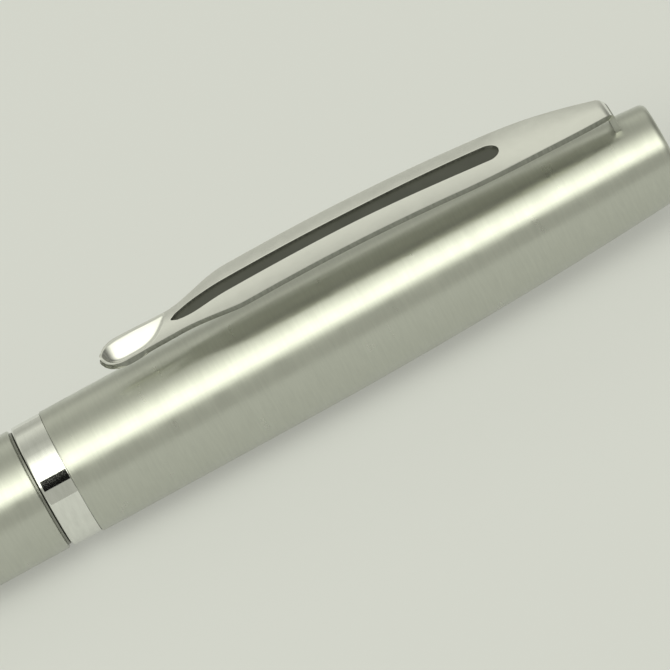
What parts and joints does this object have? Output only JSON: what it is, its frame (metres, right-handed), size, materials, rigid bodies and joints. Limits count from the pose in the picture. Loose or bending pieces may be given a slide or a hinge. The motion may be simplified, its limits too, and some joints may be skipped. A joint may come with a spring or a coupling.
{
  "type": "technical pen",
  "caption": "Capped metal technical pen with a slotted pocket clip, a screw-in nib unit with a cleaning wire, and an ink cartridge inside.",
  "frame": {"origin": "centre of the barrel's flat rear face, on the pen's axis", "axes": "+X along the pen to the top of the cap, +Z points at the pocket clip"},
  "size_m": [0.14, 0.0106, 0.0137],
  "materials": {
    "satin_metal": "satin, brushed round the axis",
    "polished_metal": "polished",
    "clip_metal": "bright, lightly worn",
    "spring_steel": "bright",
    "brass": "turned",
    "grip_plastic": "satin black",
    "inlay_plastic": "gloss black",
    "liner_plastic": "matt",
    "nib_plastic": "satin",
    "colour_code": "gloss",
    "cartridge_plastic": "translucent",
    "seal_rubber": "matt"
  },
  "bodies": {
    "barrel": {"barrel_tube": "satin_metal", "rear_plug": "satin_metal", "thread_insert": "polished_metal"},
    "seal_ring": {"section_seal": "seal_rubber"},
    "section": {"grip_section": "grip_plastic", "snap_ring": "spring_steel"},
    "nib_seal_ring": {"nib_seal": "seal_rubber"},
    "nib": {"nib_body": "nib_plastic", "air_spiral": "nib_plastic", "size_ring": "colour_code", "nib_sleeve": "spring_steel", "drawing_tube": "spring_steel", "weight_plug": "nib_plastic"},
    "wire": {"cleaning_wire": "spring_steel", "wire_weight": "spring_steel"},
    "cartridge": {"cartridge_tube": "cartridge_plastic", "cartridge_collar": "nib_plastic"},
    "cap": {"cap_shell": "satin_metal", "lip_ring": "polished_metal", "inner_cap": "liner_plastic", "cap_seal": "seal_rubber", "clip_holder": "brass"},
    "clip": {"pocket_clip": "clip_metal", "clip_inlay": "inlay_plastic"}
  },
  "joints": [
    {"name": "section_travel", "type": "slide", "parent": "barrel", "child": "seal_ring", "axis": [1, 0, 0], "range_m": [0, 0.006]},
    {"name": "section_turn", "type": "hinge", "parent": "seal_ring", "child": "section", "pos_m": [0.084, 0, 0], "axis": [1, 0, 0], "range_deg": [0, 2160]},
    {"name": "nib_travel", "type": "slide", "parent": "section", "child": "nib_seal_ring", "axis": [1, 0, 0], "range_m": [0, 0.003]},
    {"name": "nib_turn", "type": "hinge", "parent": "nib_seal_ring", "child": "nib", "pos_m": [0.108, 0, 0], "axis": [1, 0, 0], "range_deg": [0, 1440]},
    {"name": "wire_slide", "type": "slide", "parent": "nib", "child": "wire", "axis": [1, 0, 0], "range_m": [0, 0.0015]},
    {"name": "cartridge_pull", "type": "slide", "parent": "section", "child": "cartridge", "axis": [-1, 0, 0], "range_m": [0, 0.01]},
    {"name": "cap_pull", "type": "slide", "parent": "section", "child": "cap", "axis": [1, 0, 0], "range_m": [0, 0.045]},
    {"name": "clip_flex", "type": "hinge", "parent": "cap", "child": "clip", "pos_m": [0.13725, 0, 0.0037], "axis": [0, 1, 0], "range_deg": [-1, 5], "stiffness_Nm_per_rad": 2.65}
  ],
  "couplings": [
    {"joint": "section_turn", "follows": "section_travel", "rad_per_m": 6283.2},
    {"joint": "nib_turn", "follows": "nib_travel", "rad_per_m": 8377.6}
  ]
}
